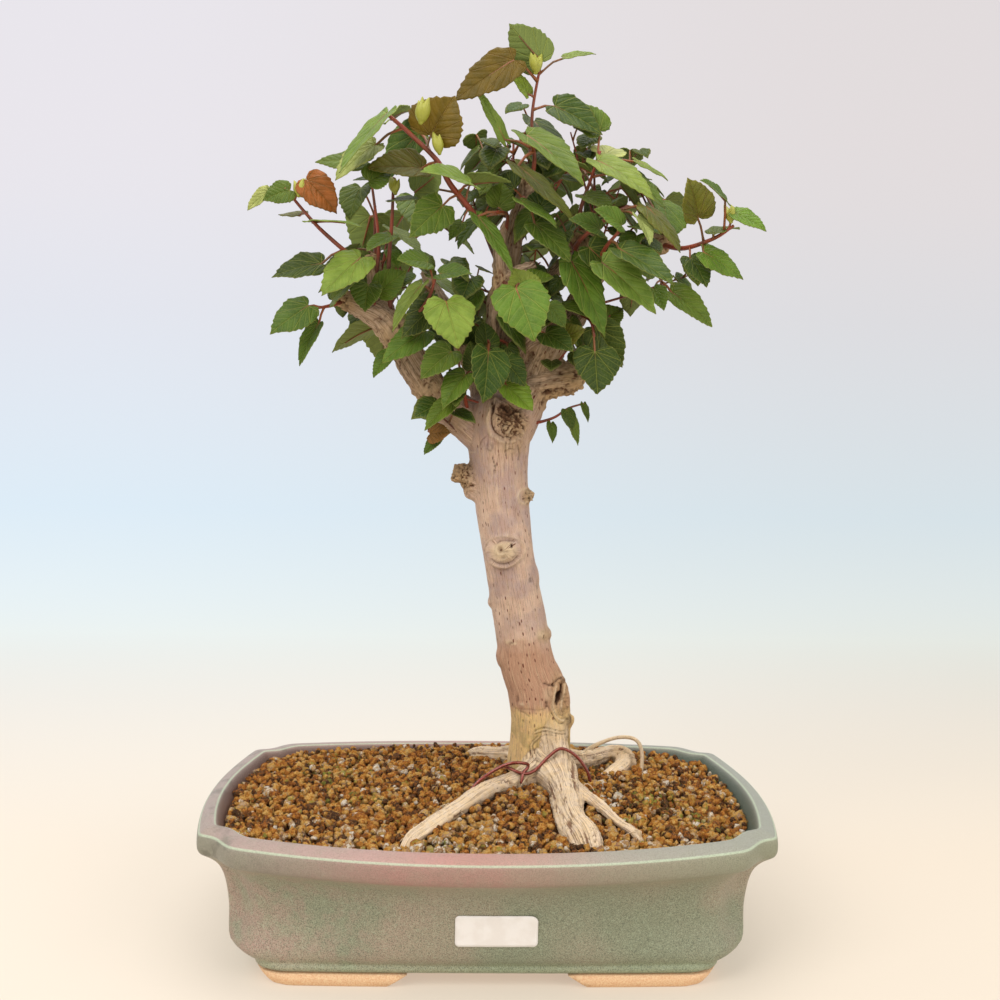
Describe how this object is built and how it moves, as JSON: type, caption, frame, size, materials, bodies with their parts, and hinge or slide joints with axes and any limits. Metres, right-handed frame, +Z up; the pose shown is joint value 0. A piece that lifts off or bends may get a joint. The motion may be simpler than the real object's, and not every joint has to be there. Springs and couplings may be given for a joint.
{
  "type": "sea hibiscus bonsai in an oblong pot",
  "caption": "Small tree with a leaning trunk, surface roots and toothed heart-shaped leaves, wired into gritty soil in a low glazed oblong pot with stepped corners and feet.",
  "frame": {"origin": "middle of the pot, on the surface that its feet stand on", "axes": "+Z up along the tree, +X to the right along the pot's length, -Y the front of the tree, so +Y runs through the pot's depth to the back"},
  "size_m": [0.32, 0.24, 0.5149],
  "materials": {
    "glazed_clay": "satin celadon glaze with fine dark speckle, bare tan clay at the foot",
    "soil_grains": "loose fired-clay granules, matt",
    "bark": "pale beige bark with dark dashes, knots and healed cuts",
    "leaf": "satin green leaves with paler veins on red-brown stalks",
    "anodised_wire": "red-brown anodised",
    "net": "black moulded mesh",
    "label_paper": "blank white sticker"
  },
  "bodies": {
    "root": {"pot": "glazed_clay", "soil": "soil_grains", "trunk": "bark", "wire": "anodised_wire", "drain_net_left": "net", "drain_net_right": "net", "label": "label_paper", "shoot_crown": "leaf", "shoot_left_high": "leaf", "shoot_left_tall": "leaf", "shoot_left_tip": "leaf", "shoot_far_left": "leaf", "shoot_left_low": "leaf", "shoot_left_front": "leaf", "shoot_left_inner": "leaf", "shoot_under_left": "leaf", "shoot_fork_left": "leaf", "shoot_fork_mid": "leaf", "shoot_middle_front": "leaf", "shoot_middle_top": "leaf", "shoot_top_inner": "leaf", "shoot_right_high": "leaf", "shoot_right_mid": "leaf", "shoot_far_right": "leaf", "shoot_right_low_tip": "leaf", "shoot_right_front": "leaf", "shoot_right_low": "leaf", "shoot_right_inner": "leaf", "shoot_under_right": "leaf", "shoot_back_left_top": "leaf", "shoot_back_left_out": "leaf", "shoot_back_right_top": "leaf", "shoot_back_right_out": "leaf", "shoot_back_crown": "leaf", "shoot_back_left_low": "leaf", "shoot_back_right_low": "leaf", "shoot_back_middle": "leaf", "shoot_inner_left": "leaf", "shoot_inner_right": "leaf", "shoot_back_far_right": "leaf"}
  },
  "joints": []
}
